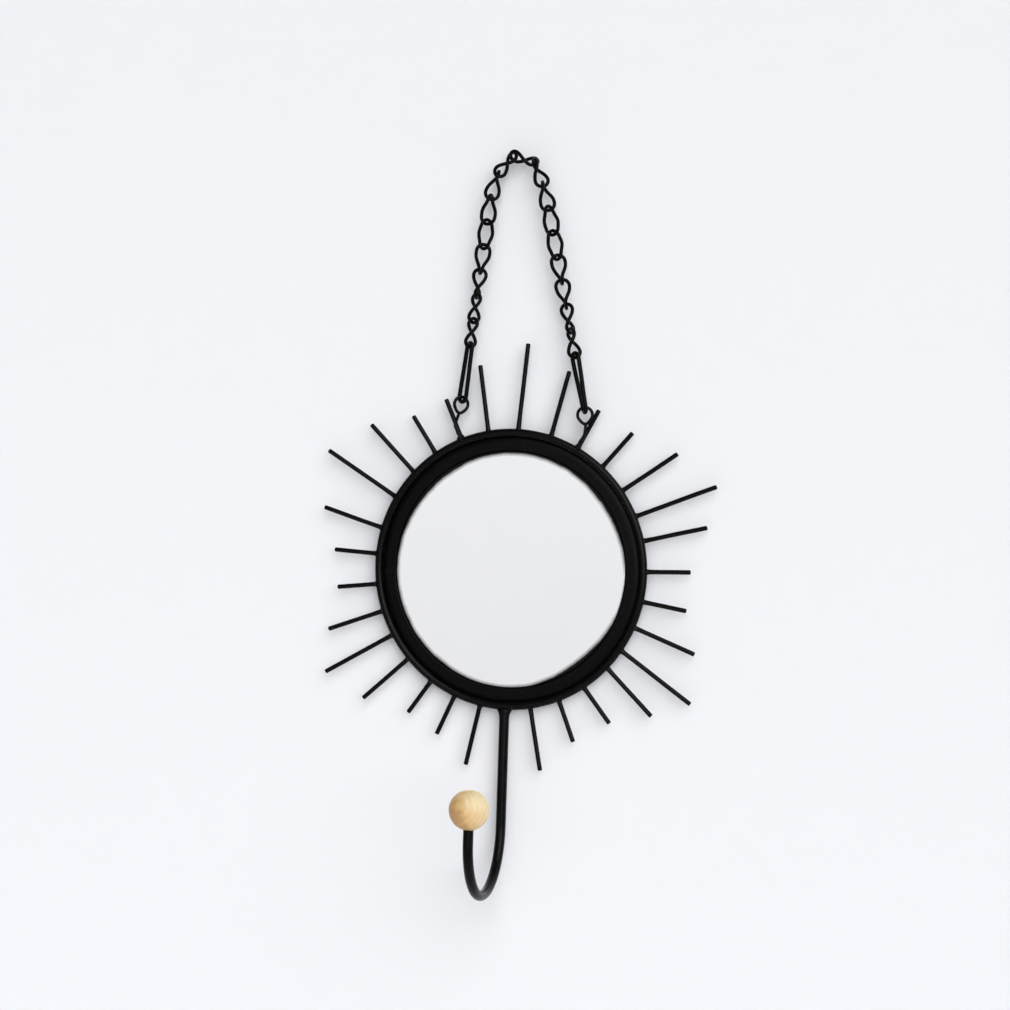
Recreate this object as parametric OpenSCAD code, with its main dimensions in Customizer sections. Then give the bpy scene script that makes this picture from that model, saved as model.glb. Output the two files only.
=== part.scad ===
// Round wall mirror in a sunburst frame, with one coat hook below it and a hanging chain above.
// The model hangs as it does on a wall: the viewer is at -Y, the wall at +Y, +Z is up.
// The origin is where the two top links of the chain cross, over the wall hook.

/* [Mirror] */
// Diameter of the glass
mirror_d = 118.5; // [90:0.5:150]
// Thickness of the glass
mirror_t = 2; // [1.5:0.5:4]
// Gap round the glass in its pressed pocket
mirror_fit = 0.3; // [0.1:0.1:0.6]
// Depth of the glass below the plate's face
mirror_sink = 0.4; // [0:0.1:1.5]
// Distance from the glass's edge to the foam pad that it is stuck on
pad_inset = 6; // [1:0.5:20]
// Thickness of the foam pad
pad_t = 0.5; // [0.3:0.1:2]

/* [Front plate] */
// Width of the flat rim round the glass
rim_w = 7.43; // [5:0.01:16]
// Thickness of the pressed steel sheet
sheet_t = 0.8; // [0.5:0.1:1.2]
// Radius of the plate's rounded front edge
edge_round = 2; // [1.3:0.1:2.5]
// Distance that the plate's face lies behind the front of the outer ring
plate_sunk = 2; // [0:0.1:2.5]
// Gap between the plate's rounded shoulder and the outer ring that rests on it
plate_fit = 0.05; // [0.02:0.01:0.3]

/* [Backing board] */
// Thickness of the hardboard in the plate's back
board_t = 1.5; // [1:0.1:4]
// Gap round the hardboard
board_fit = 0.3; // [0.1:0.1:1]
// Distance that the hardboard stands out behind the plate's back edge
board_proud = 0.2; // [0:0.1:1]

/* [Outer ring] */
// Diameter of the outer ring's wire
ring_wire_d = 4; // [3:0.5:6]
// Number of weld tacks that hold the plate in the ring
tack_count = 4; // [3:1:8]
// Angle that each tack covers, degrees
tack_angle = 7; // [3:1:15]
// Height that each tack climbs the plate's side wall, behind the ring
tack_rise = 1; // [0.5:0.1:2]

/* [Rays] */
// Diameter of the rays' wire
ray_d = 2.3; // [1.5:0.1:3]
// Length of a short ray beyond the ring
ray_short = 21.2; // [12:0.1:40]
// Length of a middling ray beyond the ring
ray_medium = 32.6; // [15:0.1:60]
// Length of a long ray beyond the ring
ray_long = 42.4; // [20:0.1:80]

/* [Coat hook] */
// Diameter of the hook's rod
rod_d = 5; // [4:0.5:8]
// Straight length of the rod below the ring
rod_drop = 58.4; // [20:0.1:120]
// Radius of the hook's bend, along the middle of the rod
hook_bend_r = 29.5; // [16:0.5:45]
// Height of the ball's centre above the start of the bend
ball_rise = 16; // [14:0.5:40]
// Diameter of the wooden ball
ball_d = 19.5; // [12:0.5:30]
// Depth of the hole in the ball
ball_hole = 8; // [4:0.5:9]
// Radial gap between the rod and the hole in the ball
ball_fit = 0.05; // [0.02:0.01:0.2]
// Height of the weld flare under the ring
weld_h = 2.2; // [1:0.1:4]
// Width of the weld flare where it meets the ring
weld_w = 9; // [8.5:0.1:12]

/* [Eyelets] */
// More gap between an eyelet and its connector
eyelet_slack = 0.2; // [0:0.05:0.5]
// Diameter of the eyelets' wire
eyelet_wire_d = 1.6; // [1.2:0.1:2]
// Width of an eyelet over its wire
eyelet_d = 9; // [8:0.1:12]
// Height of an eyelet's centre above the outer ring
eyelet_rise = 15.9; // [10:0.1:25]
// Angle of each eyelet from the frame's own top, degrees
eyelet_angle = 21.8; // [15:0.1:35]
// Height above the outer ring at which an eyelet's tail meets its ray
tail_meet = 7; // [3:0.1:9]

/* [Chain] */
// Length of a chain link over its wire
link_l = 16.35; // [14:0.05:24]
// Width of a chain link over its wire
link_w = 8.6; // [8:0.1:12]
// Diameter of the chain's wire
link_wire_d = 1.8; // [1.4:0.1:2]
// Length of a connector over its wire
connector_l = 32; // [24:0.05:40]
// Width of a connector over its wire
connector_w = 7.4; // [6.5:0.1:8.5]
// Diameter of the connectors' wire
connector_wire_d = 2.2; // [1.4:0.1:2.3]
// Twist from one end of a link to the other, degrees
link_twist = 90; // [60:1:100]
// Gap between the wires where two links meet
link_gap = 0.3; // [0.2:0.05:0.5]
// More of that gap for each degree of bend between two links
bend_gap = 0.01; // [0:0.001:0.02]

/* [Hang] */
// Slope of the top link over the wall hook, degrees below level
top_slope = 18; // [10:1:30]
// Lean of the first left link from the vertical, degrees
first_lean_left = 43; // [35:1:50]
// Lean of the second left link from the vertical, degrees
second_lean_left = 18; // [12:1:25]
// Lean of the first right link from the vertical, degrees
first_lean_right = 21; // [15:1:30]
// Lean of the second right link from the vertical, degrees
second_lean_right = 13.5; // [8:0.5:20]
// Extra lean of both straight runs to the right, degrees
run_skew = 1; // [-2:0.1:2]

/* [Hidden] */
// Gap left between welded pieces, so that their faces touch and never cross
weld_gap = 0.02;
// Smooth enough for the round pieces
$fn = 96;

// Lengths of the rays, clockwise from the top, and how often they repeat
ray_pattern = [ray_long, ray_medium, ray_short, ray_short, ray_medium];
// How far the foot of each hand-welded ray sits clockwise of its even place, in degrees
ray_nudge = [
    -1.5, 0.75, 1, 1.75, 2.5, 2.25, 0.75, 1.25, 1.5, 0.5,
    -0.75, -3.5, -2.75, -3, -2.5, -3.5, -5, -5.5, -5.75, -4.25,
    -4.25, -5.5, -6, -5.25, -6.25, -4, -3, -2.75, -2, -2.25
];
// How far each ray leans clockwise of straight out, in degrees
ray_lean = [
    3, -2, -0.5, -0.5, 1, 2.5, 0, -0.5, -2, -1,
    2, 2.5, -3, 2, 0, 0, 1.5, 2, 1.5, 0.5,
    0.5, 0, 2, -1, 1.5, 2, 2.5, 1.5, -1.5, 1.5
];
// How much longer each ray is than others of its kind
ray_extra = [
    0.5, 0.5, 0, 1, 0, 0, -0.5, 0.5, 0.5, -0.5,
    0, -1, 0, 0, -1.5, 0, -2, 0, -1.5, -1.5,
    -2, -2.5, -0.5, 1, -0.5, 0, 0, 0.5, 0, 0.5
];
ray_places = len(ray_nudge);
hook_place = ray_places / 2;
// The rays that the eyelets' tails run along
left_tail_place = ray_places - 2;
right_tail_place = 2;

// Rolls of the links about their own length, from the top of each side down to the connector
roll_left = [96, 67, 42, 11, -16, -48, -80, -77];
roll_right = [74, 54, 24, 7, -25, -34, -63, -92];
links_a_side = len(roll_left);
// Roll of the top link, whose ends are its left and its right
top_roll = 92;
top_twist = 84;
// The connectors are twisted a little as they hang, each its own way
connector_roll_left = -41;
connector_twist_left = -11;
connector_roll_right = -52;
connector_twist_right = 20;
// Turn of each eyelet about the upright line through its middle
eyelet_turn_left = 41;
eyelet_turn_right = 4;

// Places along Y. The chain and the eyelets hang at zero, in front of the rays
ray_y = (eyelet_wire_d + ray_d) / 2 + weld_gap;
face_y = ray_y - ring_wire_d / 2 + plate_sunk;
glass_y = face_y + mirror_sink;
pad_y = glass_y + mirror_t;
floor_y = pad_y + pad_t;
board_y = floor_y + sheet_t;
back_y = board_y + board_t - board_proud;
plate_depth = back_y - face_y;
// The plate's side wall starts behind its rounded edge
wall_y = face_y + edge_round;

// Radii, outwards from the mirror's centre
pocket_r = mirror_d / 2 + mirror_fit;
plate_r = pocket_r + rim_w;
// The ring's wire rests on the plate's rounded shoulder, so no gap shows between them
shoulder_reach = ring_wire_d / 2 + edge_round + plate_fit;
shoulder_drop = max(0, wall_y - ray_y);
ring_r = plate_r - edge_round + sqrt(shoulder_reach ^ 2 - shoulder_drop ^ 2);
ring_edge_r = ring_r + ring_wire_d / 2;
board_r = plate_r - sheet_t - board_fit;

// Eyelets, in the frame's own place, with the mirror's centre at zero
eyelet_r = (eyelet_d - eyelet_wire_d) / 2;
eyelet_centre_r = ring_edge_r + eyelet_rise;
// An eyelet is pulled towards the middle by the chain, so its seat is turned that way
seat_turn = 9;

// A seat is half the distance between the middles of two wires that meet
function seat(wire_a, wire_b, bend = 0) =
    ((wire_a + wire_b) / 2 + link_gap + bend_gap * bend) / (2 * cos(bend / 2));
function bearing(a) = [sin(a), 0, cos(a)];
function hanging(lean) = [sin(lean), 0, -cos(lean)];

eyelet_seat = seat(eyelet_wire_d, connector_wire_d) + eyelet_slack / 2;
seat_point = eyelet_centre_r * bearing(eyelet_angle) + (eyelet_r - eyelet_seat) * bearing(-seat_turn);

// Bends between neighbours in the curved part at the top of the chain
top_lean = 90 - top_slope;
bend_apex = 180 - top_lean - first_lean_left;
bend_left = first_lean_left - second_lean_left;
bend_top_right = top_lean - first_lean_right;
bend_right = first_lean_right - second_lean_right;

// Distance from joint to joint of a link with those bends at its ends
link_mid_l = link_l - link_wire_d;
function pitch(bend_a = 0, bend_b = 0) =
    link_mid_l - seat(link_wire_d, link_wire_d, bend_a) - seat(link_wire_d, link_wire_d, bend_b);
connector_mid_l = connector_l - connector_wire_d;
connector_pitch = connector_mid_l - seat(link_wire_d, connector_wire_d) - eyelet_seat;

// Joints of the two top links of each side
start_left = [0, 0, 0];
start_right = pitch(bend_apex, bend_top_right) * hanging(top_lean);
left_1 = start_left + pitch(bend_apex, bend_left) * hanging(-first_lean_left);
left_2 = left_1 + pitch(bend_left) * hanging(-second_lean_left);
right_1 = start_right + pitch(bend_top_right, bend_right) * hanging(first_lean_right);
right_2 = right_1 + pitch(bend_right) * hanging(second_lean_right);

// Both straight runs are as long, and their ends are as far apart as the eyelets' seats
run_l = (links_a_side - 2) * pitch() + connector_pitch;
spread = 2 * seat_point.x;
shoulder = right_2 - left_2;
skewed = [cos(run_skew), 0, sin(run_skew)];
widening = -shoulder * skewed + sqrt((shoulder * skewed) ^ 2 - shoulder * shoulder + spread ^ 2);
run_lean = asin(widening / (2 * run_l));

leans_left = [
    for (i = [1:links_a_side + 1])
        i == 1 ? -first_lean_left : i == 2 ? -second_lean_left : -(run_lean - run_skew)
];
leans_right = [
    for (i = [1:links_a_side + 1])
        i == 1 ? first_lean_right : i == 2 ? second_lean_right : run_lean + run_skew
];

// Joint number i of each side: number 0 is at the top link, the last is at the eyelet
function joint_left(i) =
    i == 0 ? start_left : i == 1 ? left_1 : i == 2 ? left_2
    : i <= links_a_side ? left_2 + (i - 2) * pitch() * hanging(leans_left[2])
    : left_2 + run_l * hanging(leans_left[2]);
function joint_right(i) =
    i == 0 ? start_right : i == 1 ? right_1 : i == 2 ? right_2
    : i <= links_a_side ? right_2 + (i - 2) * pitch() * hanging(leans_right[2])
    : right_2 + run_l * hanging(leans_right[2]);

// The frame hangs from its two seats, so it tilts as they do
hang_left = joint_left(links_a_side + 1);
hang_right = joint_right(links_a_side + 1);
tilt = atan2(hang_left.z - hang_right.z, hang_right.x - hang_left.x);
frame_centre = (hang_left + hang_right) / 2 - seat_point.z * bearing(tilt);

black = [0.07, 0.07, 0.08];
iron = [0.13, 0.13, 0.14];
glass = [0.86, 0.87, 0.88];
foam = [0.93, 0.92, 0.88];
board = [0.45, 0.33, 0.22];
wood = [0.87, 0.68, 0.42];

link_names_left = [for (i = [1:links_a_side]) str("chain_link_left_", i)];
link_names_right = [for (i = [1:links_a_side]) str("chain_link_right_", i)];
ray_numbers = [for (k = [0:ray_places - 1]) if (k != hook_place) k];
function ray_angle(k) = 360 * k / ray_places + ray_nudge[k];
// Point on the middle line of ray k, at that distance from the middle of the ring's wire
function along_ray(k, out) = ring_r * bearing(ray_angle(k)) + out * bearing(ray_angle(k) + ray_lean[k]);
function ray_name(k) = str("ray_", k < 9 ? "0" : "", k + 1);

// Puts a piece of the frame where the frame hangs: children have the mirror's centre at zero
module in_frame() {
    translate(frame_centre) rotate([0, tilt, 0]) children();
}

// Turns a profile round the mirror's axis: its X is the radius and its Y runs back from the viewer
module round_piece(from = 0, angle = 360) {
    rotate([-90, 0, 0]) rotate([0, 0, from]) rotate_extrude(angle = angle) children();
}

// The outer ring's wire, made thicker all round by grow
module ring_shape(grow = 0) {
    round_piece() translate([ring_r, ray_y]) circle(d = ring_wire_d + 2 * grow);
}

// A rod along +Z from zero, with a round end
module round_ended(d, length) {
    rotate_extrude() {
        square([d / 2, length - d / 2]);
        intersection() {
            translate([0, length - d / 2]) circle(d = d);
            translate([0, length - d / 2]) square([d / 2, d / 2]);
        }
    }
}

function unit(v) = v / norm(v);

// Points of a ring of the tube round the middle line p, which runs along t and faces n
function tube_ring(p, t, n, d, sides) =
    [for (j = [0:sides - 1]) p + d / 2 * (cos(360 * j / sides) * n + sin(360 * j / sides) * cross(t, n))];

// Faces of a tube of so many rings, that closes on itself or has flat ends
function tube_faces(rings, sides, closed) = concat(
    [
        for (i = [0:rings - (closed ? 1 : 2)], j = [0:sides - 1])
            let (a = i * sides + j, b = i * sides + (j + 1) % sides)
            let (c = (a + sides) % (rings * sides), e = (b + sides) % (rings * sides))
            each [[a, c, b], [b, c, e]]
    ],
    closed ? [] : [
        [for (j = [0:sides - 1]) j],
        [for (j = [sides - 1:-1:0]) (rings - 1) * sides + j]
    ]
);

// Middle line of a link that stands along Z: two straight legs and two round ends
function link_outline(mid_l, mid_w, arc_steps, leg_steps) =
    let (r = mid_w / 2, leg = mid_l / 2 - r)
    concat(
        [for (i = [0:arc_steps]) let (a = 180 * i / arc_steps) [r * cos(a), leg + r * sin(a)]],
        [for (i = [1:leg_steps - 1]) [-r, leg - 2 * leg * i / leg_steps]],
        [for (i = [0:arc_steps]) let (a = 180 * i / arc_steps) [-r * cos(a), -leg - r * sin(a)]],
        [for (i = [1:leg_steps - 1]) [r, -leg + 2 * leg * i / leg_steps]]
    );

// Middle line of a link that is twisted about its length by so much from its top to its bottom
function twisted_path(mid_l, mid_w, roll, twist, leg_steps) =
    let (reach = (mid_l - mid_w) / 2 + mid_w / 4)
    [
        for (p = link_outline(mid_l, mid_w, 6, leg_steps))
            let (a = roll + twist / 2 * sin(90 * max(-1, min(1, p.y / reach))))
            [p.x * cos(a), p.x * sin(a), p.y]
    ];

// A twisted link of round wire. Its middle is at zero and it stands along Z
module twisted_link(length, width, wire_d, roll, twist, leg_steps) {
    sides = 8;
    leg = (length - width) / 2;
    path = twisted_path(length - wire_d, width - wire_d, roll, twist, leg_steps);
    count = len(path);
    rings = [
        for (i = [0:count - 1])
            let (t = unit(path[(i + 1) % count] - path[(i + count - 1) % count]))
            let (out = path[i] - [0, 0, max(-leg, min(leg, path[i].z))])
            each tube_ring(path[i], t, unit(out - (out * t) * t), wire_d, sides)
    ];
    polyhedron(points = rings, faces = tube_faces(count, sides, true));
}

// A twisted link between two joints, leaning so much, with so much wire past each joint
module hung_link(upper, lower, lean, past_upper, past_lower, width, wire_d, roll, twist, leg_steps) {
    up = -hanging(lean);
    top = upper + past_upper * up;
    bottom = lower - past_lower * up;
    translate((top + bottom) / 2) rotate([0, -lean, 0])
        twisted_link(norm(top - bottom) + wire_d, width, wire_d, roll, twist, leg_steps);
}

module chain_link(upper, lower, lean, bend_a, bend_b, roll, twist = link_twist) {
    color(black) hung_link(
        upper, lower, lean,
        seat(link_wire_d, link_wire_d, bend_a), seat(link_wire_d, link_wire_d, bend_b),
        link_w, link_wire_d, roll, twist, 5
    );
}

module chain_link_left(i) {
    chain_link(
        joint_left(i - 1), joint_left(i), leans_left[i - 1],
        i == 1 ? bend_apex : i == 2 ? bend_left : 0, i == 1 ? bend_left : 0,
        roll_left[i - 1]
    );
}

module chain_link_right(i) {
    chain_link(
        joint_right(i - 1), joint_right(i), leans_right[i - 1],
        i == 1 ? bend_top_right : i == 2 ? bend_right : 0, i == 1 ? bend_right : 0,
        roll_right[i - 1]
    );
}

module top_link() {
    chain_link(start_left, start_right, top_lean, bend_apex, bend_top_right, top_roll, top_twist);
}

module connector(upper, lower, lean, roll, twist) {
    color(black) hung_link(
        upper, lower, lean, seat(link_wire_d, connector_wire_d), eyelet_seat,
        connector_w, connector_wire_d, roll, twist, 10
    );
}

// Rings of a tube along an open path
function open_tube(path, d, sides) =
    let (last = len(path) - 1)
    [
        for (i = [0:last])
            let (t = unit(path[min(i + 1, last)] - path[max(i - 1, 0)]))
            each tube_ring(path[i], t, unit([0, 1, 0] - t.y * t), d, sides)
    ];

// A loop of wire with a pointed foot, whose tail runs down in front of a ray to the outer ring.
// Side is 1 on the right and -1 on the left
module eyelet(side, place, turn) {
    sides = 8;
    centre = eyelet_centre_r * bearing(side * eyelet_angle);
    foot = eyelet_r * foot_stretch(180) * bearing(180 - side * seat_turn);
    loop_steps = 28;
    loop = [
        for (i = [0:loop_steps - 1])
            let (a = 360 * i / loop_steps)
            eyelet_r * foot_stretch(a) * bearing(a - side * seat_turn)
    ];
    loop_rings = [
        for (i = [0:loop_steps - 1])
            let (t = unit(loop[(i + 1) % loop_steps] - loop[(i + loop_steps - 1) % loop_steps]))
            each tube_ring(loop[i], t, [0, 1, 0], eyelet_wire_d, sides)
    ];
    tail = [
        centre + 0.9 * foot,
        centre + 1.15 * foot,
        along_ray(place, ring_wire_d / 2 + tail_meet),
        along_ray(place, ring_wire_d / 2 + tail_meet / 2),
        along_ray(place, ring_wire_d / 4)
    ];
    color(black) in_frame() difference() {
        union() {
            translate(centre) rotate([0, 0, turn])
                polyhedron(points = loop_rings, faces = tube_faces(loop_steps, sides, true));
            polyhedron(
                points = open_tube(tail, eyelet_wire_d, sides),
                faces = tube_faces(len(tail), sides, false)
            );
        }
        ring_shape(weld_gap);
    }
}

// The loop is round but for its foot, which reaches out to a point
function foot_stretch(a) = 1 + 0.22 * max(0, -cos(a)) ^ 8;

module outer_ring() {
    color(black) in_frame() ring_shape();
}

// Profile of a disc with a rounded front edge
module round_fronted(r, front, round, depth) {
    translate([0, front + round]) square([r, depth - round]);
    translate([0, front]) square([r - round, round]);
    translate([r - round, front + round]) circle(r = round);
}

// Pressed sheet: a rolled outer edge, a flat rim, and a pocket that the glass lies in
module plate_profile() {
    difference() {
        round_fronted(plate_r, face_y, edge_round, plate_depth);
        translate([-1, face_y - 1]) square([pocket_r + 1, floor_y - face_y + 1]);
        translate([-1, board_y]) square([plate_r - sheet_t + 1, plate_depth]);
        difference() {
            round_fronted(plate_r - sheet_t, face_y + sheet_t, edge_round - sheet_t, board_y - face_y);
            translate([-1, face_y]) square([pocket_r + sheet_t + 1, plate_depth]);
        }
    }
}

module front_plate() {
    color(iron) in_frame() round_piece() plate_profile();
}

// Weld tacks in the groove between the ring's back and the plate's side wall
module plate_tacks() {
    tack_r = plate_r + weld_gap;
    tack_w = max(ring_r - tack_r, ring_wire_d / 8);
    tack_front = ray_y + ring_wire_d / 4;
    tack_back = max(ray_y + ring_wire_d / 2, wall_y) + tack_rise;
    color(iron) in_frame() difference() {
        for (k = [0:tack_count - 1])
            round_piece(from = 360 * (k + 0.5) / tack_count, angle = tack_angle)
                translate([tack_r, tack_front]) square([tack_w, tack_back - tack_front]);
        ring_shape(weld_gap);
    }
}

module mirror_glass() {
    color(glass) in_frame() round_piece() translate([0, glass_y]) square([mirror_d / 2, mirror_t]);
}

module foam_pad() {
    color(foam) in_frame() round_piece() translate([0, pad_y])
        square([mirror_d / 2 - pad_inset, pad_t]);
}

module backing_board() {
    color(board) in_frame() round_piece() translate([0, board_y]) square([board_r, board_t]);
}

module ray(k) {
    length = ray_pattern[k % len(ray_pattern)] + ray_extra[k];
    color(black) in_frame() difference() {
        translate([0, ray_y, 0] + along_ray(k, 0)) rotate([0, ray_angle(k) + ray_lean[k], 0])
            round_ended(ray_d, ring_wire_d / 2 + length);
        ring_shape(weld_gap);
    }
}

// Places a piece of the hook: +Z points down from the mirror's centre
module in_hook() {
    in_frame() rotate([0, ray_angle(hook_place), 0])
        translate([0, ray_y, 0]) children();
}

bend_start_r = ring_edge_r + rod_drop;
ball_centre_r = bend_start_r - ball_rise;
rod_end_r = ball_centre_r + ball_d / 2 - ball_hole;
hook_reach = 2 * hook_bend_r;
// The rod's end is shaped to sit on the ring's wire
rod_seat_r = ring_edge_r - ring_wire_d / 4;

// A flare of weld metal at the rod's foot, as thick as the rod
module weld_flare() {
    h = ring_wire_d / 4 + weld_h;
    intersection() {
        translate([0, 0, rod_seat_r]) cylinder(d1 = weld_w, d2 = rod_d, h = h);
        translate([-weld_w, -rod_d / 2, rod_seat_r]) cube([2 * weld_w, rod_d, h]);
    }
}

module coat_hook() {
    color(black) difference() {
        in_hook() {
            weld_flare();
            translate([0, -hook_bend_r, bend_start_r]) {
                rotate([90, 0, 90]) rotate_extrude(angle = 180) translate([hook_bend_r, 0]) circle(d = rod_d);
                translate([0, hook_bend_r, rod_seat_r - bend_start_r])
                    cylinder(d = rod_d, h = bend_start_r - rod_seat_r);
                translate([0, -hook_bend_r, rod_end_r - bend_start_r])
                    cylinder(d = rod_d, h = bend_start_r - rod_end_r);
            }
        }
        in_frame() ring_shape(weld_gap);
    }
}

module wooden_ball() {
    color(wood) in_hook() translate([0, -hook_reach, ball_centre_r]) difference() {
        sphere(d = ball_d);
        translate([0, 0, ball_d / 2 - ball_hole - ball_fit]) cylinder(d = rod_d + 2 * ball_fit, h = ball_d);
    }
}

outer_ring();
front_plate();
plate_tacks();
mirror_glass();
foam_pad();
backing_board();
coat_hook();
wooden_ball();
eyelet(-1, left_tail_place, eyelet_turn_left);  // eyelet_left
eyelet(1, right_tail_place, eyelet_turn_right);  // eyelet_right
connector(  // connector_left
        joint_left(links_a_side), hang_left, leans_left[links_a_side],
        connector_roll_left, connector_twist_left
    );
connector(  // connector_right
        joint_right(links_a_side), hang_right, leans_right[links_a_side],
        connector_roll_right, connector_twist_right
    );
top_link();
for (i = [1:links_a_side]) chain_link_left(i);
for (i = [1:links_a_side]) chain_link_right(i);
for (k = ray_numbers) ray(k);
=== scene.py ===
import bmesh
import bpy
from math import cos, pi, radians, sin
from mathutils import Matrix, Vector, noise


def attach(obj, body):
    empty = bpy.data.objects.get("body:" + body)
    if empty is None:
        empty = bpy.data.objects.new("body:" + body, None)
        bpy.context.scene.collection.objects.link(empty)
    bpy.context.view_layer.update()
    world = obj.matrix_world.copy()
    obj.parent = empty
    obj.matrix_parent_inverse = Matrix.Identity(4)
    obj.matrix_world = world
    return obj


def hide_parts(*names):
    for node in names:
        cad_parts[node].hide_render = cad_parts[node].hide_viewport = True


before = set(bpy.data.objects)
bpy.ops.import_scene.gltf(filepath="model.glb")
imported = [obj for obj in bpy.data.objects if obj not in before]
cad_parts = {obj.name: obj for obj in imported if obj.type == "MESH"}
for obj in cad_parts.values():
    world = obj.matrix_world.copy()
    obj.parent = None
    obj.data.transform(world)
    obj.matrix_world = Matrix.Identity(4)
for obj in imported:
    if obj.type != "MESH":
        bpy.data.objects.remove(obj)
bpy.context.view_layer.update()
print("packed model loaded,", len(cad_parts), "nodes")

noise.seed_set(5)  # the same unevenness on every run
mm = 0.001
sceneItems = bpy.context.scene.collection

# Where the mirror hangs, and the sizes that its pieces share, in millimetres. The viewer is at -Y and the
# wall at +Y: depth is where the wires' middle lies, face is the front of the plate's rim
mirrorHang = dict(
    centre=(-2.8876, 0.0, -206.645), tilt=5.4188, ringRadius=68.502, ringWire=4.0, depth=1.97,
    plateRadius=66.98, pocketRadius=59.55, glassRadius=59.25, face=1.97)
ringEdge = mirrorHang["ringRadius"] + mirrorHang["ringWire"] / 2
cameraSettings = dict(offset=(286.97, -1061.91, 32.2), yaw=15.2, lens=78.42, sensor=36.0)


def placeCamera(settings, hang):
    data = bpy.data.cameras.new("camera")
    data.sensor_width = settings["sensor"]
    data.lens = settings["lens"]
    camera = bpy.data.objects.new("camera", data)
    camera.location = (Vector(hang["centre"]) + Vector(settings["offset"])) * mm
    camera.rotation_euler = (radians(90), 0, radians(settings["yaw"]))
    sceneItems.objects.link(camera)
    bpy.context.scene.camera = camera


placeCamera(cameraSettings, mirrorHang)
bpy.context.scene.view_settings.view_transform = "Standard"


class Field:
    # a socket that can stand in a sum
    def __init__(self, maker, socket):
        self.maker, self.socket = maker, socket

    def reckon(self, operation, first, second):
        return self.maker.node("ShaderNodeMath", dict(operation=operation), {0: first, 1: second})

    def __add__(self, other):
        return self.reckon("ADD", self, other)

    def __sub__(self, other):
        return self.reckon("SUBTRACT", self, other)

    def __rsub__(self, other):
        return self.reckon("SUBTRACT", other, self)

    def __mul__(self, other):
        return self.reckon("MULTIPLY", self, other)

    def __pow__(self, other):
        return self.reckon("POWER", self, other)

    __radd__ = __add__
    __rmul__ = __mul__


class NodeMaker:
    # adds nodes to the tree of one material or world
    def __init__(self, tree):
        self.tree = tree

    def node(self, kind, settings=None, inputs=None, output=0):
        made = self.tree.nodes.new(kind)
        for key, value in (settings or {}).items():
            if key == "stops":
                ramp = made.color_ramp.elements
                while len(ramp) < len(value):
                    ramp.new(0.5)
                for stop, (place, colour) in zip(ramp, value):
                    stop.position, stop.color = place, (*colour, 1.0)
            else:
                setattr(made, key, value)
        for key, value in (inputs or {}).items():
            if isinstance(value, Field):
                self.tree.links.new(value.socket, made.inputs[key])
            else:
                made.inputs[key].default_value = value
        return Field(self, made.outputs[output])

    def axis(self, spot, letter):
        return self.node("ShaderNodeSeparateXYZ", None, {"Vector": spot}, "XYZ".index(letter))

    def step(self, value, low, high, outLow=0.0, outHigh=1.0, **settings):
        return self.node("ShaderNodeMapRange", settings, {
            "Value": value, "From Min": low, "From Max": high, "To Min": outLow, "To Max": outHigh})


class Paint(NodeMaker):
    # a material with one main shader and the nodes that feed it
    def __init__(self, name, **fixed):
        self.material = bpy.data.materials.new(name)
        self.material.use_nodes = True
        super().__init__(self.material.node_tree)
        self.shader = self.tree.nodes["Principled BSDF"]
        for socket, value in fixed.items():
            self.shader.inputs[socket.replace("_", " ")].default_value = value

    def place(self, scale=(1, 1, 1), turn=(0, 0, 0), shift=(0, 0, 0)):
        spot = self.node("ShaderNodeTexCoord", output="Object")
        return self.node("ShaderNodeMapping", None, {
            "Vector": spot, "Scale": scale, "Rotation": turn, "Location": shift})

    def cloud(self, scale, detail=2.0, rough=0.5, distortion=0.0, at=None):
        return self.node("ShaderNodeTexNoise", None, {
            "Vector": at or self.place(), "Scale": scale, "Detail": detail, "Roughness": rough,
            "Distortion": distortion})

    def cells(self, scale):
        return self.node("ShaderNodeTexVoronoi", dict(feature="F1"), {"Vector": self.place(), "Scale": scale})

    def ramp(self, value, stops):
        return self.node("ShaderNodeValToRGB", dict(stops=stops), {"Fac": value})

    def blendColours(self, factor, first, second):
        return self.node("ShaderNodeMix", dict(data_type="RGBA"), {
            0: factor, 6: (*first, 1) if isinstance(first, tuple) else first, 7: (*second, 1)}, output=2)

    def feed(self, **inputs):
        for socket, value in inputs.items():
            self.tree.links.new(value.socket, self.shader.inputs[socket.replace("_", " ")])

    def bump(self, height, strength, distance):
        self.feed(Normal=self.node("ShaderNodeBump", None, {
            "Height": height, "Strength": strength, "Distance": distance}))


# Dust specks in the black paint: how large they are, where they gather, and how far each thing shows
satinFinish = dict(speckSize=(0.05, 0.16), speckPatch=(0.5, 0.62), speckShow=0.5, speckHeight=0.8,
                   patchHeight=0.4, peelSheen=0.08, bumpDepth=0.0002)


def satinBlack(name, settings, shared=satinFinish):
    # brushed-on or powder paint over steel: fine peel, a few dust specks, soft changes of sheen
    paint = Paint(name, Specular_IOR_Level=settings["specular"])
    broad = paint.cloud(settings["patchScale"], 3.0)
    peel = paint.cloud(settings["peelScale"], 2.0)
    grit = paint.cells(settings["gritScale"])
    specks = paint.step(grit, *shared["speckSize"], 1.0, 0.0) * paint.step(broad, *shared["speckPatch"])
    tone = paint.blendColours(broad, settings["dark"], settings["pale"])
    paint.feed(Base_Color=paint.blendColours(specks * shared["speckShow"], tone, settings["dust"]),
               Roughness=broad * settings["sheenChange"] + peel * shared["peelSheen"]
               + (settings["roughness"] - shared["peelSheen"] / 2))
    paint.bump(peel + specks * shared["speckHeight"] + broad * shared["patchHeight"], settings["bump"],
               shared["bumpDepth"])
    return paint.material


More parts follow.
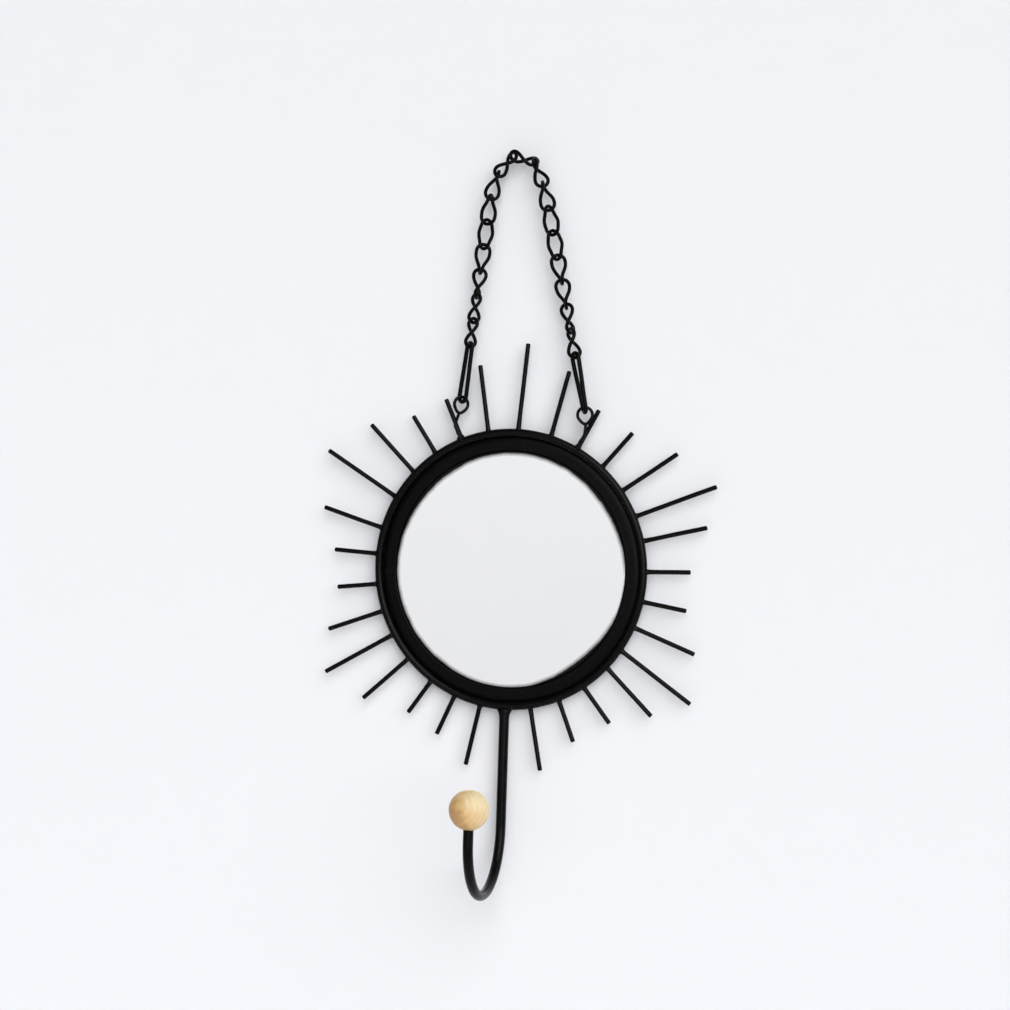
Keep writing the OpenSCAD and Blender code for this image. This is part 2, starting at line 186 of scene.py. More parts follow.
framePaint = satinBlack("satin black frame", dict(
    dark=(0.0008, 0.0008, 0.0009), pale=(0.0022, 0.0021, 0.0022), dust=(0.025, 0.024, 0.023), specular=0.11,
    roughness=0.2, sheenChange=0.12, patchScale=55.0, peelScale=1500.0, gritScale=260.0, bump=0.35))
platePaint = satinBlack("satin black plate", dict(
    dark=(0.0009, 0.0009, 0.001), pale=(0.0022, 0.0021, 0.0022), dust=(0.02, 0.02, 0.019), specular=0.075,
    roughness=0.3, sheenChange=0.16, patchScale=40.0, peelScale=1300.0, gritScale=180.0, bump=0.3))
chainPaint = satinBlack("satin black chain", dict(
    dark=(0.0008, 0.0008, 0.0009), pale=(0.0025, 0.0024, 0.0025), dust=(0.03, 0.029, 0.028), specular=0.065,
    roughness=0.22, sheenChange=0.16, patchScale=180.0, peelScale=1800.0, gritScale=420.0, bump=0.4))


def silverMirror():
    # silvered glass, whose rim was brushed over a little unevenly with the frame's black paint. Each wave of
    # the brushed edge is how often it goes round, how high it is in millimetres, and where it starts
    settings = dict(
        silver=(0.93, 0.935, 0.94), marked=(0.9, 0.905, 0.912), black=(0.0032, 0.0031, 0.0033), specular=0.1,
        haze=0.012, smudge=0.05, smudgeScale=22.0, wipeScale=35.0, wipeStretch=(1, 1, 6), wipeTurn=0.6,
        brushedRoughness=0.42, edge=57.71, softness=1.05, ragged=1.0, raggedScale=160.0,
        waves=((1, 0.5, 1.26), (2, 0.34, -0.67), (3, 0.32, 0.6), (4, 0.58, 0.44), (5, 0.27, 1.25),
               (6, 0.17, 1.57)))
    paint = Paint("silvered mirror", Specular_IOR_Level=settings["specular"])
    at = paint.place(shift=tuple(-c * mm for c in mirrorHang["centre"]))
    across, upwards = paint.axis(at, "X"), paint.axis(at, "Z")
    radius = (across * across + upwards * upwards) ** 0.5 * (1 / mm)
    around = paint.node("ShaderNodeMath", dict(operation="ARCTAN2"), {0: upwards, 1: across})
    edge = (paint.cloud(settings["raggedScale"], 3.0) * settings["ragged"]
            + (settings["edge"] - settings["ragged"] / 2))
    for count, height, turn in settings["waves"]:
        wave = paint.node("ShaderNodeMath", dict(operation="COSINE"), {0: around * count + turn})
        edge = edge + wave * height
    brushed = paint.step(radius - edge, -settings["softness"], settings["softness"])
    smudges = paint.cloud(settings["smudgeScale"], 4.0, 0.6, 0.6) ** 2.0
    wipes = paint.cloud(settings["wipeScale"], 2.0, 0.5, 0.3,
                        paint.place(scale=settings["wipeStretch"], turn=(0, settings["wipeTurn"], 0)))
    silver = paint.blendColours(smudges, settings["silver"], settings["marked"])
    paint.feed(Base_Color=paint.blendColours(brushed, silver, settings["black"]), Metallic=1.0 - brushed,
               Roughness=smudges * wipes * settings["smudge"] + brushed * settings["brushedRoughness"]
               + settings["haze"])
    return paint.material


def turnedWood(ballCentre):
    # pale close-grained bead: faint rings across the bore, long fibres, small pores, a dry satin surface
    settings = dict(
        line=(0.55, 0.32, 0.13), honey=(0.69, 0.46, 0.19), pale=(0.71, 0.51, 0.28), cream=(0.76, 0.62, 0.37),
        pore=(0.45, 0.27, 0.12), specular=0.35, grainTurn=(radians(18), 0, 0.5), warpScale=110.0,
        ringScale=120.0, fibreScale=700.0, fibreStretch=(1, 1, 0.09), poreScale=1600.0,
        poreStretch=(1, 1, 0.14), poreSize=(0.68, 0.76), poreShow=0.35, ringShare=0.07, warpShare=0.55,
        fibreShare=0.3, fibreHeight=0.6, poreHeight=0.8, ringHeight=0.05, litRightShare=26.0, shadeBelowShare=16.0,
        roughness=0.42, roughnessChange=0.18, bump=0.25, bumpDepth=0.0002)
    paint = Paint("turned wood", Specular_IOR_Level=settings["specular"])
    turn = settings["grainTurn"]
    at = paint.place(turn=turn, shift=ballCentre)
    warp = paint.cloud(settings["warpScale"], 3.0, 0.55, 0.4, at)
    rings = paint.node("ShaderNodeTexWave", dict(wave_type="RINGS", rings_direction="X"), {
        "Vector": at, "Scale": settings["ringScale"], "Distortion": 4.5, "Detail": 3.0, "Detail Scale": 1.3})
    fibres = paint.cloud(settings["fibreScale"], 4.0, 0.6, 0.2, paint.place(settings["fibreStretch"], turn))
    pores = paint.step(
        paint.cloud(settings["poreScale"], 2.0, 0.5, 0.0, paint.place(settings["poreStretch"], turn)),
        *settings["poreSize"])
    level = paint.place(shift=ballCentre)  # painted light: paler towards the right, where the light falls, and darker towards the bottom as painted shade
    paintedLight = paint.axis(level, "X") * settings["litRightShare"] + paint.axis(level, "Z") * settings["shadeBelowShare"]
    grain = rings * settings["ringShare"] + warp * settings["warpShare"] + fibres * settings["fibreShare"]
    tone = paint.ramp(grain + paintedLight, [(0.3, settings["line"]), (0.44, settings["honey"]),
                                        (0.56, settings["pale"]), (0.74, settings["cream"])])
    paint.feed(Base_Color=paint.blendColours(pores * settings["poreShow"], tone, settings["pore"]),
               Roughness=fibres * settings["roughnessChange"] + settings["roughness"])
    height = fibres * settings["fibreHeight"] - pores * settings["poreHeight"] + rings * settings["ringHeight"]
    paint.bump(height, settings["bump"], settings["bumpDepth"])
    return paint.material


def pressedBoard():
    # brown hardboard: pressed strands with paler flecks
    settings = dict(deep=(0.13, 0.075, 0.042), middle=(0.22, 0.135, 0.08), light=(0.33, 0.22, 0.14),
                    fleck=(0.42, 0.3, 0.2), specular=0.3, strandScale=420.0, fleckScale=900.0,
                    fleckStretch=(1, 1, 0.3), fleckTurn=0.7, fleckSize=(0.6, 0.7), fleckShow=0.6,
                    fleckHeight=0.4, roughness=0.62, roughnessChange=0.2, bump=0.5, bumpDepth=0.0003)
    paint = Paint("pressed hardboard", Specular_IOR_Level=settings["specular"])
    strands = paint.cloud(settings["strandScale"], 5.0, 0.65, 1.2)
    at = paint.place(scale=settings["fleckStretch"], turn=(0, settings["fleckTurn"], 0))
    flecks = paint.step(paint.cloud(settings["fleckScale"], 2.0, 0.5, 0.8, at), *settings["fleckSize"])
    tone = paint.ramp(strands, [(0.3, settings["deep"]), (0.55, settings["middle"]), (0.75, settings["light"])])
    paint.feed(Base_Color=paint.blendColours(flecks * settings["fleckShow"], tone, settings["fleck"]),
               Roughness=strands * settings["roughnessChange"] + settings["roughness"])
    paint.bump(strands + flecks * settings["fleckHeight"], settings["bump"], settings["bumpDepth"])
    return paint.material


def foamSheet():
    # off-white foam with small cells
    settings = dict(wall=(0.72, 0.71, 0.67), hollow=(0.9, 0.89, 0.85), specular=0.2, cellScale=1400.0,
                    roughness=0.75, roughnessChange=0.2, bump=0.4, bumpDepth=0.0003)
    paint = Paint("foam tape", Specular_IOR_Level=settings["specular"])
    cells = paint.cells(settings["cellScale"])
    paint.feed(Base_Color=paint.blendColours(cells, settings["hollow"], settings["wall"]),
               Roughness=cells * settings["roughnessChange"] + settings["roughness"])
    paint.bump(cells, settings["bump"], settings["bumpDepth"])
    return paint.material


def fromBmesh(bm, name, material, body, node, sharpAngle=40, move=None):
    # a finished piece that rides on a body and stands for a node
    if move is not None:
        bmesh.ops.transform(bm, matrix=move, verts=bm.verts)
    bmesh.ops.remove_doubles(bm, verts=bm.verts, dist=1e-7)
    bmesh.ops.recalc_face_normals(bm, faces=bm.faces)
    mesh = bpy.data.meshes.new(name)
    bm.to_mesh(mesh)
    bm.free()
    for face in mesh.polygons:
        face.use_smooth = True
    mesh.set_sharp_from_angle(angle=radians(sharpAngle))
    mesh.materials.append(material)
    piece = bpy.data.objects.new(name, mesh)
    sceneItems.objects.link(piece)
    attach(piece, body)
    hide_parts(node)


def hung(hang=mirrorHang):
    # from millimetres round the mirror's middle to metres where the mirror hangs
    return (Matrix.Translation(Vector(hang["centre"]) * mm) @ Matrix.Rotation(radians(hang["tilt"]), 4, "Y")
            @ Matrix.Scale(mm, 4))


def compass(angle, radius):
    # a point on a circle round the mirror's middle, clockwise from the top
    return Vector((radius * sin(radians(angle)), 0, radius * cos(radians(angle))))


def fromAxis(vert):
    return (vert.co.x ** 2 + vert.co.z ** 2) ** 0.5


def hoopAt(bm, radius, depth):
    # the edges of one round edge of a turned shape
    return [edge for edge in bm.edges
            if all(abs(v.co.y - depth) < 1e-3 and abs(fromAxis(v) - radius) < 1e-3 for v in edge.verts)]


def roundSpin(profile, axis, steps):
    # turns an open profile of points round an axis through zero
    bm = bmesh.new()
    verts = [bm.verts.new(point) for point in profile]
    edges = [bm.edges.new(pair) for pair in zip(verts, verts[1:])]
    bmesh.ops.spin(bm, geom=verts + edges, cent=(0, 0, 0), axis=axis, angle=2 * pi, steps=steps, use_merge=True)
    bmesh.ops.remove_doubles(bm, verts=bm.verts, dist=1e-4)
    return bm


def wire(path, diameter, closed):
    # a round wire along a path, as a bmesh in the path's own units
    curve = bpy.data.curves.new("wire", "CURVE")
    curve.dimensions = "3D"
    curve.bevel_depth = diameter / 2
    curve.bevel_resolution = 6
    curve.use_fill_caps = True
    spline = curve.splines.new("POLY")
    spline.points.add(len(path) - 1)
    for point, spot in zip(spline.points, path):
        point.co = (*spot, 1.0)
    spline.use_cyclic_u = closed
    holder = bpy.data.objects.new("wire", curve)
    sceneItems.objects.link(holder)
    mesh = bpy.data.meshes.new_from_object(holder.evaluated_get(bpy.context.evaluated_depsgraph_get()))
    bm = bmesh.new()
    bm.from_mesh(mesh)
    bpy.data.objects.remove(holder)
    bpy.data.curves.remove(curve)
    bpy.data.meshes.remove(mesh)
    return bm


def merged(first, second):
    scrap = bpy.data.meshes.new("scrap")
    second.to_mesh(scrap)
    second.free()
    first.from_mesh(scrap)
    bpy.data.meshes.remove(scrap)
    return first


def buildRing():
    settings = dict(steps=240, sides=28, wobble=0.05, wobbleScale=0.12)
    bm = bmesh.new()
    made = bmesh.ops.create_circle(bm, segments=settings["sides"], radius=mirrorHang["ringWire"] / 2)
    bmesh.ops.translate(bm, vec=(mirrorHang["ringRadius"], 0, 0), verts=made["verts"])
    bmesh.ops.spin(bm, geom=made["verts"] + bm.edges[:], cent=(0, 0, 0), axis=(0, 1, 0), angle=2 * pi,
                   steps=settings["steps"], use_merge=True)
    for vert in bm.verts:
        vert.co += noise.noise_vector(vert.co * settings["wobbleScale"]) * settings["wobble"]
        vert.co.y += mirrorHang["depth"]
    fromBmesh(bm, "wireRing", framePaint, "mirror_frame", "outer_ring", move=hung())


# Each ray stands where it was welded: how far its foot sits and how far it leans clockwise, in degrees, and
# how much longer it is, in millimetres. The rays in blobs, at the lower left, have the fuller welds
raySettings = dict(
    count=30, lengths=(42.4, 32.6, 21.2, 21.2, 32.6), radius=1.15, steps=20, footRadius=1.5, blobRadius=2.0,
    blobs=range(16, 25), footHeight=1.6, footSpread=0.18, lumps=0.22, bend=0.1, hookPlace=15,
    nudges=(-1.5, 0.75, 1, 1.75, 2.5, 2.25, 0.75, 1.25, 1.5, 0.5,
            -0.75, -3.5, -2.75, -3, -2.5, -3.5, -5, -5.5, -5.75, -4.25,
            -4.25, -5.5, -6, -5.25, -6.25, -4, -3, -2.75, -2, -2.25),
    leans=(3, -2, -0.5, -0.5, 1, 2.5, 0, -0.5, -2, -1, 2, 2.5, -3, 2, 0, 0, 1.5, 2, 1.5, 0.5,
           0.5, 0, 2, -1, 1.5, 2, 2.5, 1.5, -1.5, 1.5),
    extras=(0.5, 0.5, 0, 1, 0, 0, -0.5, 0.5, 0.5, -0.5, 0, -1, 0, 0, -1.5, 0, -2, 0, -1.5, -1.5,
            -2, -2.5, -0.5, 1, -0.5, 0, 0, 0.5, 0, 0.5))


def rayTurn(place, settings=raySettings):
    # from upright over the middle to where this ray stands
    foot = Matrix.Translation((0, 0, mirrorHang["ringRadius"]))
    turn = Matrix.Rotation(radians(360 / settings["count"] * place + settings["nudges"][place]), 4, "Y")
    return turn @ foot @ Matrix.Rotation(radians(settings["leans"][place]), 4, "Y") @ foot.inverted()


def buildRay(place, settings):
    r, rise = settings["radius"], settings["footHeight"]
    foot = settings["blobRadius"] if place in settings["blobs"] else settings["footRadius"]
    start, base = mirrorHang["ringRadius"] + 1.0, ringEdge - 0.5
    tip = ringEdge + settings["lengths"][place % 5] + settings["extras"][place]
    profile = [(0, 0, start), (foot * 0.8, 0, start), (foot, 0, base)]
    for i in range(1, 7):  # the weld's hollow flank, from the ring up to the wire
        a = radians(15 * i)
        profile.append((foot - (foot - r) * sin(a), 0, base + rise * (1 - cos(a))))
    profile += [(r, 0, ringEdge + rise + (tip - ringEdge - rise) * i / 8) for i in range(1, 8)]
    profile += [(r, 0, tip - 0.55), (r * 0.96, 0, tip - 0.3), (r * 0.8, 0, tip - 0.1), (r * 0.5, 0, tip),
                (0, 0, tip)]
    bm = roundSpin(profile, (0, 0, 1), settings["steps"])
    for vert in bm.verts:
        nearFoot = min(1.0, max(0.0, 1 - (vert.co.z - ringEdge) / rise))
        drift = noise.noise_vector(Vector((place * 7.3, vert.co.z * 0.05, 0))) * settings["bend"]
        lump = noise.noise(vert.co * 0.9 + Vector((place * 3.1, 0, 0))) * settings["lumps"] * nearFoot
        vert.co.x = (vert.co.x * (1 + settings["footSpread"] * nearFoot + lump)
                     + drift.x * min(1, (vert.co.z - ringEdge) / 10))
        vert.co.y = vert.co.y * (1 + lump) + mirrorHang["depth"]
    bmesh.ops.transform(bm, matrix=rayTurn(place), verts=bm.verts)
    number = "%02d" % (place + 1)
    fromBmesh(bm, "weldedRay" + number, framePaint, "mirror_frame", "ray_" + number, move=hung())


def buildPlate():
    # pressed sheet: a pocket for the glass, a rim, a shoulder that the ring rests on, and a wall turned back
    settings = dict(steps=240, sheet=0.8, back=6.97, floor=4.87, frontRound=2.0, lipRound=0.7, floorRound=0.5,
                    pocketRound=0.3, smallRound=0.3, support=0.15, crown=0.01, slopeStart=62.8, slopeFall=1.01,
                    slopePower=2.3, slopeSteps=12, slopeTouch=60.4, wobble=0.04, wobbleScale=0.05)
    outer, inner, face = mirrorHang["plateRadius"], mirrorHang["pocketRadius"], mirrorHang["face"]
    t, front, lip = settings["sheet"], settings["frontRound"], settings["lipRound"]
    back, floor, slopeStart = settings["back"], settings["floor"], settings["slopeStart"]
    corners = [(inner, floor), (inner, face), (outer, back), (outer - t, back), (outer - t, face + t),
               (inner + t, face + t), (inner + t, floor + t)]
    touch = outer - front + front * sin(radians(settings["slopeTouch"]))
    # a loop beside the lip keeps the rim flat, which then rolls off gently to where the ring rests
    shoulder = [(inner + lip + settings["support"], face)]
    for i in range(settings["slopeSteps"] + 1):
        run = i / settings["slopeSteps"]
        shoulder.append((slopeStart + (touch - slopeStart) * run,
                         face + settings["slopeFall"] * run ** settings["slopePower"]))
    for a in (70, 80, 90):
        shoulder.append((outer - front + front * sin(radians(a)), face + front - front * cos(radians(a))))
    profile = [(0, floor)] + corners[:2] + shoulder + corners[2:] + [(0, floor + t)]
    bm = roundSpin([(r, y, 0) for r, y in profile], (0, 1, 0), settings["steps"])
    rounds = ((1, lip), (4, front - t), (5, lip), (6, settings["floorRound"]), (0, settings["pocketRound"]),
              (2, settings["smallRound"]), (3, settings["smallRound"]))
    for corner, size in rounds:
        bmesh.ops.bevel(bm, geom=hoopAt(bm, *corners[corner]), offset=size, offset_type="OFFSET", segments=5,
                        profile=0.5, affect="EDGES", material=-1, clamp_overlap=True)
    for vert in bm.verts:  # the rim is a little crowned, and the press leaves it slightly uneven
        inwards = max(0.0, outer - front - max(fromAxis(vert), inner))
        vert.co.y += noise.noise(vert.co * settings["wobbleScale"]) * settings["wobble"]
        if vert.co.y < face + 1.0:
            vert.co.y -= settings["crown"] * inwards ** 2
    fromBmesh(bm, "pressedPlate", platePaint, "mirror_frame", "front_plate", sharpAngle=50,
              move=hung())


def buildGlass():
    settings = dict(steps=200, thick=2.0, front=2.37, edgeRound=0.35)
    r, front, back = mirrorHang["glassRadius"], settings["front"], settings["front"] + settings["thick"]
    bm = roundSpin([(0, front, 0), (r, front, 0), (r, back, 0), (0, back, 0)], (0, 1, 0), settings["steps"])
    bmesh.ops.bevel(bm, geom=hoopAt(bm, r, front), offset=settings["edgeRound"], segments=3, profile=0.5,
                    affect="EDGES", material=-1)
    fromBmesh(bm, "mirrorGlass", silverMirror(), "mirror_frame", "mirror_glass", sharpAngle=10,
              move=hung())


buildRing()
for rayPlace in range(raySettings["count"]):
    if rayPlace != raySettings["hookPlace"]:
        buildRay(rayPlace, raySettings)
buildPlate()
buildGlass()
print("frame and mirror made")

hookSettings = dict(angle=176.5, radius=2.5, sides=32, start=70.0, bendStart=128.9, bendRadius=29.5,
                    bendSteps=56, end=114.65, weldWide=4.1, weldTall=4.4, weldThin=0.1, weldLumps=0.25)
ballSettings = dict(radius=9.75, centre=112.9, bore=2.56, boreDepth=8.0, mouthAngle=17.5, steps=72)


def grownFace(bm, face, rise):
    # pulls a face out along Z and gives the new one
    grown = bmesh.ops.extrude_face_region(bm, geom=[face])
    face = [g for g in grown["geom"] if isinstance(g, bmesh.types.BMFace)][0]
    bmesh.ops.translate(bm, vec=(0, 0, rise), verts=face.verts)
    return face


def buildHook(settings):
    r, start = settings["radius"], settings["start"]
    bm = bmesh.new()
    made = bmesh.ops.create_circle(bm, segments=settings["sides"], radius=r, cap_ends=True)
    bmesh.ops.translate(bm, vec=(0, 0, start), verts=made["verts"])
    bendStart = settings["bendStart"]
    heights = [start + settings["weldTall"] * (1 - cos(radians(15 * i))) for i in range(1, 7)]
    heights += [bendStart - (bendStart - heights[-1]) * (1 - i / 12) for i in range(1, 13)]
    face = list(bm.faces)[0]
    for height in heights:
        face = grownFace(bm, face, height - face.verts[0].co.z)
    grown = bmesh.ops.spin(bm, geom=[face], cent=(0, -settings["bendRadius"], bendStart), axis=(1, 0, 0),
                           angle=pi, steps=settings["bendSteps"])
    face = [g for g in grown["geom_last"] if isinstance(g, bmesh.types.BMFace)][0]
    for i in range(4):
        face = grownFace(bm, face, (settings["end"] - bendStart) / 4)
    for vert in bm.verts:
        rise = (vert.co.z - start) / settings["weldTall"]
        if vert.co.y > -r - 0.1 and rise < 1.0:  # the weld flares out along the ring
            flare = (1 - rise) ** 1.6
            vert.co.x *= 1 + (settings["weldWide"] / r - 1) * flare
            vert.co.y *= 1 - settings["weldThin"] * flare
            vert.co += noise.noise_vector(vert.co * 0.7) * settings["weldLumps"] * (1 - rise)
        vert.co.y += mirrorHang["depth"]
    turn = Matrix.Rotation(radians(settings["angle"]), 4, "Y")
    bmesh.ops.transform(bm, matrix=turn, verts=bm.verts)
    fromBmesh(bm, "coatHook", framePaint, "mirror_frame", "coat_hook", move=hung())


def buildBall(settings, hook):
    r, bore, mouth = settings["radius"], settings["bore"], radians(settings["mouthAngle"])
    profile = [(r * sin(radians(a)), 0, -r * cos(radians(a))) for a in range(0, 161, 4)]
    profile += [(r * sin(mouth), 0, r * cos(mouth)), (bore + 0.15, 0, r - 0.75), (bore, 0, r - 1.1),
                (bore, 0, r - settings["boreDepth"]), (0, 0, r - settings["boreDepth"])]
    bm = roundSpin(profile, (0, 0, 1), settings["steps"])
    for vert in bm.verts:  # turned and sanded by hand, so not quite true
        if vert.co.length > r * 0.9:
            vert.co *= 1 + noise.noise(vert.co * 0.12) * 0.006 - 0.003
    spot = Vector((0, mirrorHang["depth"] - 2 * hook["bendRadius"], settings["centre"]))
    turn = Matrix.Rotation(radians(hook["angle"]), 4, "Y") @ Matrix.Translation(spot)
    bmesh.ops.transform(bm, matrix=turn, verts=bm.verts)
    middle = hung() @ turn @ Vector((0, 0, 0))
    fromBmesh(bm, "woodenBall", turnedWood(tuple(-middle)), "mirror_frame", "wooden_ball",
              move=hung())


buildHook(hookSettings)
buildBall(ballSettings, hookSettings)
print("hook and ball made")

# Joints of the chain at rest, from its top to the eyelets, as x and z in millimetres
chainJoints = dict(
    left=((0, 0), (-7.9904, -8.5686), (-11.7902, -20.2633), (-13.5992, -32.5812), (-15.4082, -44.899),
          (-17.2172, -57.2169), (-19.0262, -69.5348), (-20.8352, -81.8527), (-22.6442, -94.1705),
          (-26.6327, -121.329)),
    right=((10.9123, -3.5456), (15.2178, -14.7619), (18.1149, -26.8292), (20.3527, -39.0765),
           (22.5905, -51.3237), (24.8282, -63.5709), (27.066, -75.8182), (29.3038, -88.0654),
           (31.5416, -100.313), (36.4755, -127.316)))
# Every link runs past its joints by its seats. The third seat of a side holds for all its lower links
linkSettings = dict(
    wire=1.8, width=8.6, twist=90.0, points=112, count=8,
    rolls=dict(left=(96, 67, 42, 11, -16, -48, -80, -77), right=(74, 54, 24, 7, -25, -34, -63, -92)),
    seats=dict(left=(1.6303, 1.2035, 1.05), right=(1.4459, 1.0898, 1.05)))
topSettings = dict(roll=92, twist=84, seats=(1.6303, 1.4459))
connectorSettings = dict(wire=2.2, width=7.4, points=144, seats=(1.15, 1.2), rolls=dict(left=-41, right=-52),
                         twists=dict(left=-11, right=20))
eyeletSettings = dict(wire=1.6, radius=3.7, rise=15.9, angle=21.8, seatTurn=9.0, pinch=0.22, tailMeet=7.0,
                      points=96, turns=dict(left=41, right=4), rays=dict(left=28, right=2))


def twistedPath(upper, lower, seats, roll, twist, settings):
    # the middle line of a link between two joints: two legs and two round ends, turned about its length
    top, bottom = Vector((upper[0], 0, upper[1])), Vector((lower[0], 0, lower[1]))
    up = (top - bottom).normalized()
    top, bottom = top + up * seats[0], bottom - up * seats[1]
    bend = (settings["width"] - settings["wire"]) / 2
    leg = (top - bottom).length / 2 - bend
    reach = leg + bend / 2
    whole = 2 * pi * bend + 4 * leg
    middle, backwards = (top + bottom) / 2, Vector((0, 1, 0))
    side = backwards.cross(up)
    path = []
    for i in range(settings["points"]):
        run = whole * i / settings["points"]
        if run < pi * bend:
            x, z = bend * cos(run / bend), leg + bend * sin(run / bend)
        elif run < pi * bend + 2 * leg:
            x, z = -bend, leg - (run - pi * bend)
        elif run < 2 * pi * bend + 2 * leg:
            a = (run - pi * bend - 2 * leg) / bend
            x, z = -bend * cos(a), -leg - bend * sin(a)
        else:
            x, z = bend, -leg + (run - 2 * pi * bend - 2 * leg)
        turn = radians(roll + twist / 2 * sin(pi / 2 * max(-1, min(1, z / reach))))
        path.append(middle + side * (x * cos(turn)) + backwards * (x * sin(turn)) + up * z)
    return path


def buildLink(name, node, body, path, settings):
    bm = wire([p * mm for p in path], settings["wire"] * mm, True)
    fromBmesh(bm, name, chainPaint, body, node, sharpAngle=60)


def buildChain(link, connector, top):
    for side in ("left", "right"):
        joints, seats, rolls = chainJoints[side], link["seats"][side], link["rolls"][side]
        for i in range(1, link["count"] + 1):
            past = (seats[min(i - 1, 2)], seats[min(i, 2)])
            path = twistedPath(joints[i - 1], joints[i], past, rolls[i - 1], link["twist"], link)
            buildLink("twistedLink%s%d" % (side.title(), i), "chain_link_%s_%d" % (side, i), "link_pair_%d" % i,
                      path, link)
        path = twistedPath(*joints[-2:], connector["seats"], connector["rolls"][side],
                           connector["twists"][side], connector)
        buildLink("longConnector" + side.title(), "connector_" + side, "connectors", path, connector)
    ends = (chainJoints["left"][0], chainJoints["right"][0])
    path = twistedPath(*ends, top["seats"], top["roll"], top["twist"], link)
    buildLink("topLink", "top_link", "hung_top", path, link)


def smoothTail(stops):
    # a smooth line through the stops
    tail = []
    for a, b, c, d in zip([stops[0]] + stops, stops, stops[1:], stops[2:] + [stops[-1]]):
        for i in range(8):
            t = i / 8
            tail.append(0.5 * ((2 * b) + (c - a) * t + (2 * a - 5 * b + 4 * c - d) * t * t
                               + (3 * b - a - 3 * c + d) * t ** 3))
    return tail + [stops[-1]]


def buildEyelet(side, settings):
    sign = 1 if side == "right" else -1
    radius, seat, size = settings["radius"], sign * settings["seatTurn"], settings["wire"]
    centre = compass(sign * settings["angle"], ringEdge + settings["rise"])
    loop = []
    for i in range(settings["points"]):
        a = 360 * i / settings["points"]
        stretch = 1 + settings["pinch"] * max(0, -cos(radians(a))) ** 8  # drawn out where the tail leaves it
        loop.append(compass(a - seat, radius * stretch))
    spun = Matrix.Rotation(radians(settings["turns"][side]), 3, "Z")
    bm = wire([centre + spun @ p for p in loop], size, True)
    place = settings["rays"][side]
    turn = rayTurn(place)
    foot = compass(180 - seat, radius * (1 + settings["pinch"]))
    stops = [centre + foot * 0.97, centre + foot * 1.15] + [
        turn @ Vector((0, 0, ringEdge + out)) for out in (settings["tailMeet"], settings["tailMeet"] / 2, -0.8)]
    bm = merged(bm, wire(smoothTail(stops), size, False))
    # weld metal where the tail meets the ring and the ray: its middle, its half sizes and how lumpy it is
    for spot, half, lumps in (((0, 0.5, ringEdge - 0.2), (1.9, 1.2, 1.6), 0.25),
                              ((0, 0.7, ringEdge + 3.2), (1.15, 0.75, 3.6), 0.2)):
        weld = bmesh.new()
        bmesh.ops.create_icosphere(weld, subdivisions=4, radius=1.0)
        for vert in weld.verts:
            vert.co *= 1 + noise.noise(vert.co * 1.7 + Vector((place, 0, 0))) * lumps
        shape = turn @ Matrix.Translation(spot) @ Matrix.Diagonal((*half, 1))
        bmesh.ops.transform(weld, matrix=shape, verts=weld.verts)
        bm = merged(bm, weld)
    fromBmesh(bm, "hangingEyelet" + side.title(), framePaint, "mirror_frame", "eyelet_" + side,
              sharpAngle=60, move=hung())


buildChain(linkSettings, connectorSettings, topSettings)
buildEyelet("left", eyeletSettings)
buildEyelet("right", eyeletSettings)
print("chain and eyelets made")

# The plain CAD pieces at the back keep their shape
backFinishes = dict(plate_tacks=platePaint, foam_pad=foamSheet(), backing_board=pressedBoard())
for node, material in backFinishes.items():
    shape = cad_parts[node]
    shape.data.materials.clear()
    shape.data.materials.append(material)

# Wall, floor and light. The panel is the bright wall in front and to the left, which the mirror shows: how
# near to panelFrom it begins and is full, and how its light falls off downwards
roomSettings = dict(
    wallY=0.00745, wallHalf=(3, 1.75), floorY=-1.3, floorZ=-1.25, floorHalf=(3, 1.35),
    wall=(0.865, 0.867, 0.885), sunTint=(0.98, 0.99, 1.0), sky=0.13, skyTint=(0.985, 0.985, 1.0, 1),
    sunFrom=(0.5, -0.77, 0.39), sunAngle=64.0, sunStrength=2.77,
    backFrom=(-0.26, 0.965, 0.12), backAngle=30.0, backStrength=2.6,
    panelFrom=(-0.26, -0.965, -0.03), panelReach=(0.9, 0.985), panelHeights=(-0.25, 0.15),
    panelLight=(0.8, 1.0))


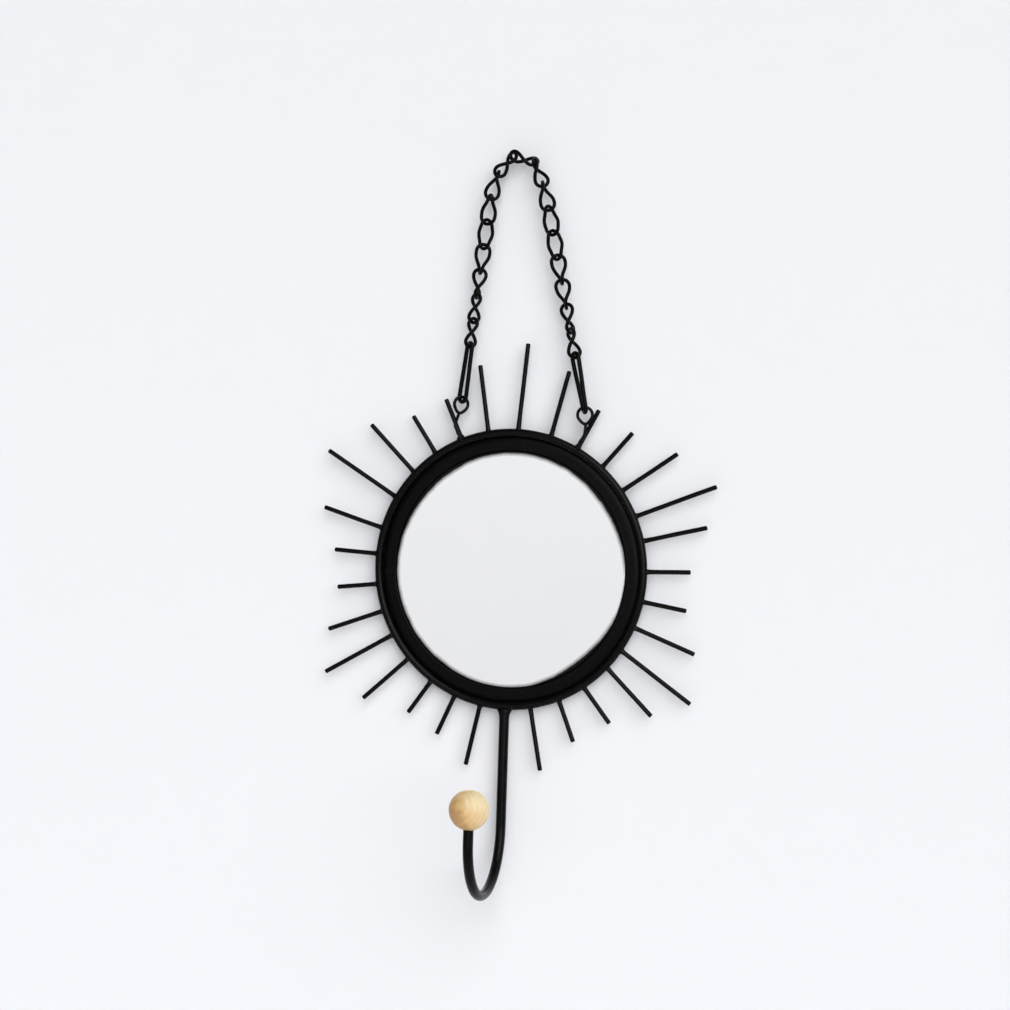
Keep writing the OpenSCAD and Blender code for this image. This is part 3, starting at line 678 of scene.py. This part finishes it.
def plainSheet(name, spot, size, turn, colour):
    bm = bmesh.new()
    place = Matrix.Translation(spot) @ Matrix.Rotation(radians(turn), 4, "X") @ Matrix.Diagonal((*size, 1, 1))
    bmesh.ops.create_grid(bm, x_segments=1, y_segments=1, size=1.0, matrix=place)
    mesh = bpy.data.meshes.new(name)
    bm.to_mesh(mesh)
    bm.free()
    paint = Paint(name, Base_Color=(*colour, 1), Roughness=0.9, Specular_IOR_Level=0.1)
    back = paint.node("ShaderNodeNewGeometry", output="Backfacing")  # open from behind, so that the back shows
    clear = paint.node("ShaderNodeBsdfTransparent")
    solid = Field(paint, paint.shader.outputs[0])
    mixed = paint.node("ShaderNodeMixShader", None, {0: back, 1: solid, 2: clear})
    paint.tree.links.new(mixed.socket, paint.tree.nodes["Material Output"].inputs[0])
    mesh.materials.append(paint.material)
    sheet = bpy.data.objects.new(name, mesh)
    sheet.visible_shadow = False  # so the light from behind reaches the back of the mirror
    sceneItems.objects.link(sheet)


def softSun(kind, settings):
    data = bpy.data.lights.new(kind, "SUN")
    data.energy, data.angle = settings[kind + "Strength"], radians(settings[kind + "Angle"])
    data.color = settings["sunTint"]
    light = bpy.data.objects.new(kind, data)
    light.rotation_euler = (-Vector(settings[kind + "From"])).to_track_quat("-Z", "Y").to_euler()
    sceneItems.objects.link(light)


def paleSky(settings):
    # an even pale room with a brighter wall in it
    sky = bpy.data.worlds.new("sky")
    sky.use_nodes = True
    air = NodeMaker(sky.node_tree)
    where = air.node("ShaderNodeTexCoord", output="Generated")
    facing = air.node("ShaderNodeVectorMath", dict(operation="DOT_PRODUCT"),
                      {0: where, 1: settings["panelFrom"]}, output="Value")
    panel = air.step(facing, *settings["panelReach"], interpolation_type="SMOOTHSTEP")
    shine = air.step(air.axis(where, "Z"), *settings["panelHeights"], *settings["panelLight"])
    strength = air.node("ShaderNodeMix", None, {0: panel, 2: settings["sky"], 3: shine})
    background = sky.node_tree.nodes["Background"]
    background.inputs["Color"].default_value = settings["skyTint"]
    sky.node_tree.links.new(strength.socket, background.inputs["Strength"])
    bpy.context.scene.world = sky


def dressRoom(settings):
    wallZ = settings["floorZ"] + settings["wallHalf"][1]
    plainSheet("wall", (0, settings["wallY"], wallZ), settings["wallHalf"], 90, settings["wall"])
    plainSheet("floor", (0, settings["floorY"], settings["floorZ"]), settings["floorHalf"], 0, settings["wall"])
    # one wide soft light from the right and above, and one from behind that leaves the front view as it is
    softSun("sun", settings)
    softSun("back", settings)
    paleSky(settings)


dressRoom(roomSettings)
print("room lit")
